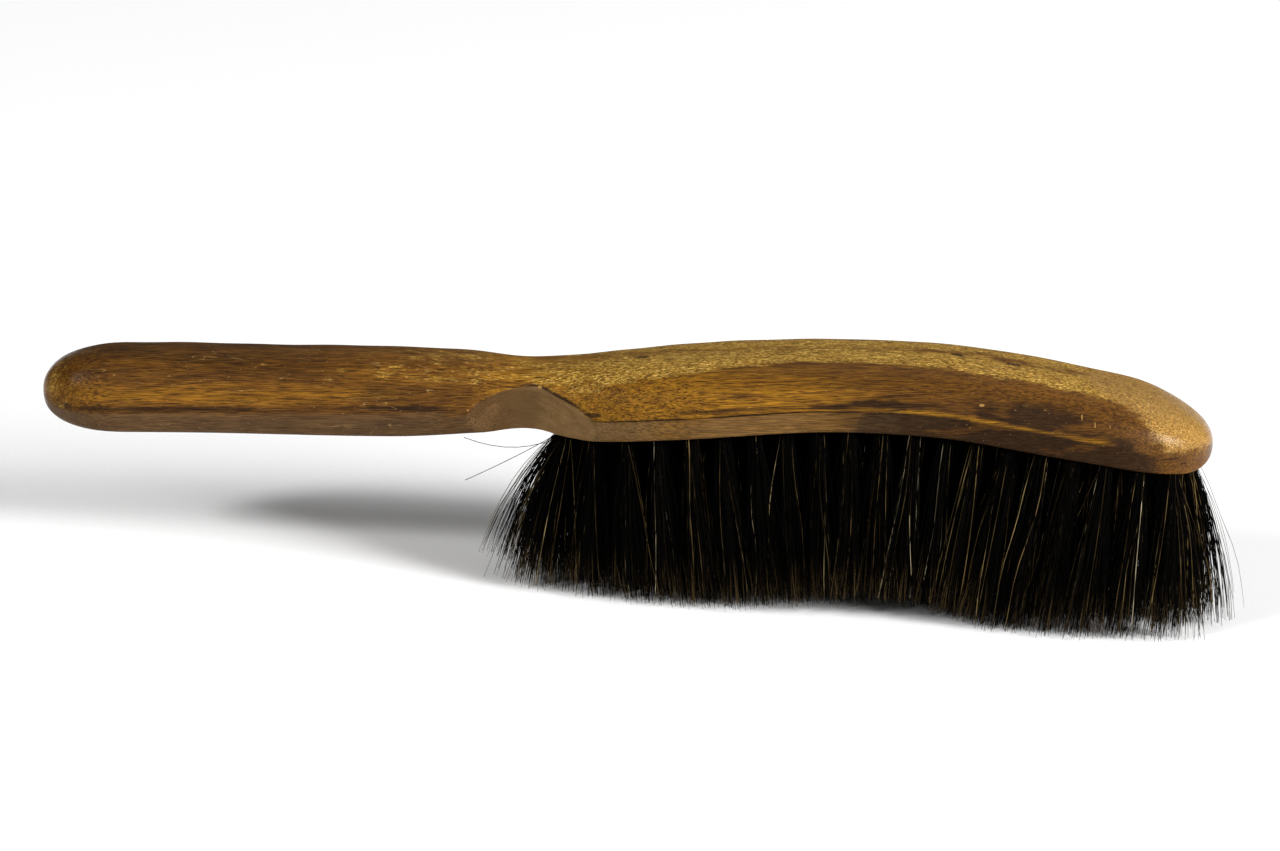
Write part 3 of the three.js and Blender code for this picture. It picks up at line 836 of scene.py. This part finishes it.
# Single chips and dark marks on the wood: the middle of each and its half sizes, mm.
CHIPS = [
    ((137.7, -11.8, 16.1), (0.55, 1, 0.45)), ((118, -12.5, 10), (0.4, 1, 0.3)),
    ((257.3, -23.2, 14), (0.75, 1, 0.35)), ((284, -22, 10.5), (0.18, 3, 0.8)),
    ((287.5, -22, 8.5), (0.17, 3, 0.9)), ((291.5, -21, 8), (0.17, 3, 0.6)),
    ((62, -9.5, 21.8), (1.3, 0.3, 0.3)), ((35, -8, 22.4), (0.9, 0.25, 0.25)),
    ((203, 14, 21), (1.2, 0.6, 0.8)), ((88, 12.4, 15), (0.8, 0.8, 0.5)),
]
MARKS = [
    ((165, -4.1, 22.2), (2.2, 1.4, 1)), ((250.3, -1.4, 22.3), (1.8, 1.5, 1)),
    ((265.2, -4, 20.2), (2.4, 1.3, 1)), ((307.5, -18.5, -2), (3.2, 2.5, 0.25)),
    ((311, -16, -4), (1.2, 2, 0.3)), ((152.5, -17, 9.6), (3.0, 2, 0.7)),
    ((120, 10, 19), (1.6, 1.1, 1)), ((232, 8, 24), (1.5, 1.2, 1)),
    ((214, -23.9, 13.3), (9, 3, 0.3)),
]


def horsehair():
    """Black bristles with some brown, tan and grey ones, many of them pale at the tip."""
    s = Shader("horsehair")
    place = s.node("ShaderNodeUVMap", uv_map=STRAND_MAP).outputs[0]
    parts = s.node("ShaderNodeSeparateXYZ", {0: place}).outputs
    tone, along = parts[0], parts[1]
    black, brown = (0.0012, 0.0010, 0.0008), (0.012, 0.008, 0.004)
    body = s.ramp(tone, [
        (0.0, black), (0.91, black), (0.94, brown), (0.962, (0.050, 0.033, 0.012)),
        (0.983, (0.12, 0.078, 0.028)), (0.993, (0.26, 0.19, 0.08)), (1.0, (0.46, 0.40, 0.27)),
    ])
    shaded = s.ease(s.noise(place, (900, 3.5, 0), 2, 0.5), 0.40, 0.56)
    body = s.mix(s.math("MULTIPLY", shaded, 0.75), body, black)
    pale_tip = s.math("MULTIPLY", s.ease(tone, 0.50, 0.56), s.ease(tone, 0.72, 0.66))
    tipped = s.math("MULTIPLY", s.ease(along, 0.72, 0.98), pale_tip)
    colour = s.mix(s.math("MULTIPLY", tipped, 0.7), body, (0.10, 0.065, 0.025))
    s.put(s.surface.inputs["Base Color"], colour)
    s.surface.inputs["Roughness"].default_value = 0.55
    s.surface.inputs["Specular IOR Level"].default_value = 0.012
    return s.material


def brass():
    """Dull, slightly tarnished brass wire."""
    s = Shader("drawn_brass")
    where = s.node("ShaderNodeTexCoord").outputs["Object"]
    stain = s.noise(where, (260, 260, 260), 4, 0.6)
    colour = s.ramp(stain, [(0.35, (0.20, 0.12, 0.045)), (0.6, (0.62, 0.43, 0.17))])
    s.put(s.surface.inputs["Base Color"], colour)
    s.put(s.surface.inputs["Roughness"], s.math("ADD", 0.25, s.math("MULTIPLY", stain, 0.3)))
    s.surface.inputs["Metallic"].default_value = 1.0
    s.bump(stain, 0.2, 0.00005)
    return s.material


# |y| of the lower edge of the rubbed band on the back.
BAND = through([
    (120, 8), (142, 13.4), (160, 16.3), (182, 15.9), (209, 12.2), (236, 13), (263, 15.6),
    (284, 15.6), (LENGTH, 16),
])


def most(*shares):
    """The largest of several shares at each point."""
    return np.maximum.reduce(np.broadcast_arrays(*shares))


def line_at(value, width):
    """1 where the value is 0, fading out over the width on both sides."""
    return np.exp(-((value / width) ** 2))


def wear_and_light_of_wood(at):
    """How the wood is worn, and where light and shade are painted on it, at points in the brush's
    mm: shares for colour, shares for shape.
    """
    x, y, z = at.T
    side = np.abs(y)
    above = z - seam_at(x)
    over = np.hypot(SCOOP_AXIS[0] - side, z - SCOOP_AXIS[1]) - scoop_at(x)
    on_handle = step(x, 140, 108)
    on_head = step(x, 150, 185)
    underneath = step(above, 0.2, -0.6)
    in_scoop = step(over, 0.35, 0.05) * (x > SCOOP[0][0]) * (x < SCOOP[-1][0])
    before_nose = step(x, 304, 292)

    # rubbed pale: the band along the back and the top of the handle by the neck; at the handle's
    # end a painted highlight, with some rubbing
    top = step(above, 3, 5) * step(side, BAND(x) + 2.4, BAND(x) - 2.4) * step(x, 112, 150)
    top *= (1 - 0.25 * step(x, 160, 150)) * (1 - 0.45 * step(side, 5, 1))
    top *= 1 + 0.2 * step(x, 150, 185) - 0.35 * step(x, 225, 262)
    by_neck = 0.26 * step(x, 60, 112) * step(x, 150, 130) * step(z, 15, 19)
    # the last share, at the handle's end, is mostly a painted highlight
    pale_and_highlight = most(top * 0.62, by_neck, 0.27 * step(x, 16, 3) * step(z, 6, 12))

    # bare at the nose, further back on the sides
    boundary = 285 + 20 * (side / 21) ** 2.5
    nose = step(x, boundary - 9, boundary + 7) * (0.15 + 0.85 * step(above, -2, 4))

    # a clean streak along the head's arris, which shows in the dirt and also adds a painted
    # highlight through the painted light
    streak = line_at(above - 0.9, 0.8) * step(x, 215, 226) * step(x, 296, 288)

    # darker: dirt on the handle's top, the head's lower side, the scoop's rim and the seam;
    # painted shade along the handle's lower arris, between its lit side and its bevel; a dark line
    # just above the head's seam
    dirt_and_shade = most(
        0.40 * step(z, 16.5, 20) * step(x, 105, 60) * step(x, 4, 20),
        0.30 * step(x, 74, 96) * step(x, 132, 120) * step(z, 19, 16),
        # painted shade: the dark line along the handle's lower arris
        (0.60 + 0.4 * step(x, 55, 85)) * line_at(z - 10.6, 1.0) * step(x, 122, 104),
        0.28 * step(x, 195, 230) * step(above, 13, 6),
        0.8 * line_at(above - 1.7, 0.6) * step(x, 166, 186) * step(x, 300, 288),
        step(x, 210, 230) * before_nose * step(above, 4.5, 2.5),
        0.8 * step(x, 238, 270) * before_nose * step(above, 12, 4),
        0.9 * line_at(over - 0.5, 0.55) * step(x, 128, 137) * (x < SCOOP[-1][0]),
        line_at(above, 0.3) * (seam_shows(x) - seam_shows(0)),
        0.9 * underneath * step(x, 196, 245) * (1 - 0.75 * step(x, 297, 308)),
    ) * (1 - 0.7 * streak)

    # painted light: a warm lit band along the handle's middle, the neck and the head's side
    neck = step(x, 118, 134) * step(x, 215, 170) * (0.62 + 0.38 * step(x, 158, 146))
    painted_light = most(
        0.36 * step(x, 112, 76) * line_at(z - 14.4, 2.3) * on_handle,
        neck * (1 - top),
        0.6 * on_head * step(x, 240, 205) * step(above, 12, 4),
    )
    painted_light = most(np.where(in_scoop > 0.5, step(x, 124, 142), painted_light), streak)

    # the greyer planed faces, their grey partly a painted reflection of the white floor: the
    # handle's bevel, the board's bevel and the scoops
    bevel = most(
        step(z, 9.8, 8.8) * step(x, 118, 108),
        0.75 * underneath * on_head,
        in_scoop,
        step(above, 0.2, -0.4) * step(x, 105, 118) * step(x, 190, 160),
    ) * (1 - 0.95 * step(x, 200, 250))
    dull = most(in_scoop * step(x, 118, 132), 0.4 * bevel)
    return np.c_[pale_and_highlight, dirt_and_shade, painted_light], np.c_[bevel, nose, dull]


def mark_wood(piece):
    """Stores each corner's place in the brush, how its surface is worn there, and where light and
    shade are painted on it.
    """
    mesh = piece.data
    where = np.zeros(len(mesh.vertices) * 3)
    mesh.vertices.foreach_get("co", where)
    at = lay(where.reshape(-1, 3))
    wear_and_light, shape = wear_and_light_of_wood(at)
    for name, values in (("grain", at), ("wear_and_light", wear_and_light), ("shape", shape)):
        layer = mesh.attributes.new(name, "FLOAT_VECTOR", "POINT")
        layer.data.foreach_set("vector", values.astype(np.float32).ravel())


# ------------------------------------------------------------------ the object
def finish_piece(piece, material):
    piece.data.materials.clear()
    piece.data.materials.append(material)
    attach(piece, "root")


back = wooden_back()
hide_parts("back_and_handle")
board = drilled_board()
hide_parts("bristle_board")
for piece, slot in ((back, "back_wood"), (board, "board_wood")):
    mark_wood(piece)
    smooth(piece, 35)
    finish_piece(piece, wood(slot))

hair = horsehair()
for rank in range(RANKS):
    finish_piece(bristle_rank(rank), hair)

wire = brass()
for row in range(ROWS):
    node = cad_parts[f"drawing_wire_{row + 1}"]
    node.data.materials.clear()
    node.data.materials.append(wire)

# ------------------------------------------------------------------ stage, lights and camera
FLOOR_SIZE = 12.0
floor = new_object(
    "floor",
    np.array([(x, y, 0) for x, y in ((-1, -1), (1, -1), (1, 1), (-1, 1))]) * FLOOR_SIZE / 2,
    [[0, 1, 2, 3]],
)
paper = Shader("white_paper")
tooth = paper.noise(paper.node("ShaderNodeTexCoord").outputs["Object"], (900, 900, 900), 2)
paper.put(paper.surface.inputs["Base Color"], paper.ramp(
    tooth, [(0.3, (0.93, 0.93, 0.93)), (0.7, (0.97, 0.97, 0.97))]))
paper.surface.inputs["Roughness"].default_value = 0.9
paper.surface.inputs["Specular IOR Level"].default_value = 0.1
floor.data.materials.append(paper.material)

world = bpy.data.worlds.new("studio")
world.use_nodes = True
world.node_tree.nodes["Background"].inputs["Color"].default_value = (1, 1, 1, 1)
world.node_tree.nodes["Background"].inputs["Strength"].default_value = 0.125
bpy.context.scene.world = world


def soft_light(name, turn, height, distance, size, power):
    """A square soft box aimed at the brush: turn from straight in front towards +x, in degrees."""
    light = bpy.data.lights.new(name, "AREA")
    light.shape = "SQUARE"
    light.size = size
    light.energy = power
    lamp = bpy.data.objects.new(name, light)
    bpy.context.scene.collection.objects.link(lamp)
    a, e = math.radians(turn), math.radians(height)
    way = Vector((math.sin(a) * math.cos(e), -math.cos(a) * math.cos(e), math.sin(e)))
    target = Vector((0, 0, 0.035))
    lamp.location = target + way * distance
    lamp.rotation_euler = (-way).to_track_quat("-Z", "Y").to_euler()


soft_light("key_right", 66.4, 18.5, 6, 2.47, 860)
soft_light("fill_left", -47.6, 30.2, 6, 1.08, 185)
soft_light("behind", 165, 48, 6, 3.6, 48)

CAMERA_DISTANCE = 1.6
CAMERA_TURN = math.radians(-3.18)   # the nose is nearer the camera
CAMERA_HEIGHT = math.radians(15.19)
CAMERA_ROLL = math.radians(2.825)
CAMERA_AIM = Vector((0.0021, 0, 0.04355))
VIEW_WIDTH = 1280 / 3.6631 / 1000   # metres across the view at the brush

ahead = Vector((
    math.sin(CAMERA_TURN) * math.cos(CAMERA_HEIGHT),
    math.cos(CAMERA_TURN) * math.cos(CAMERA_HEIGHT),
    -math.sin(CAMERA_HEIGHT),
))
level = Vector((math.cos(CAMERA_TURN), -math.sin(CAMERA_TURN), 0))
upright = level.cross(ahead)
right = level * math.cos(CAMERA_ROLL) + upright * math.sin(CAMERA_ROLL)
above = upright * math.cos(CAMERA_ROLL) - level * math.sin(CAMERA_ROLL)
lens = bpy.data.cameras.new("camera")
lens.sensor_fit = "HORIZONTAL"
lens.sensor_width = 36
lens.lens = lens.sensor_width * CAMERA_DISTANCE / VIEW_WIDTH
lens.clip_end = 50
camera = bpy.data.objects.new("camera", lens)
bpy.context.scene.collection.objects.link(camera)
camera.matrix_world = Matrix.Translation(CAMERA_AIM - ahead * CAMERA_DISTANCE) @ Matrix(
    (right, above, -ahead)).transposed().to_4x4()
bpy.context.scene.camera = camera
bpy.context.scene.view_settings.view_transform = "Standard"
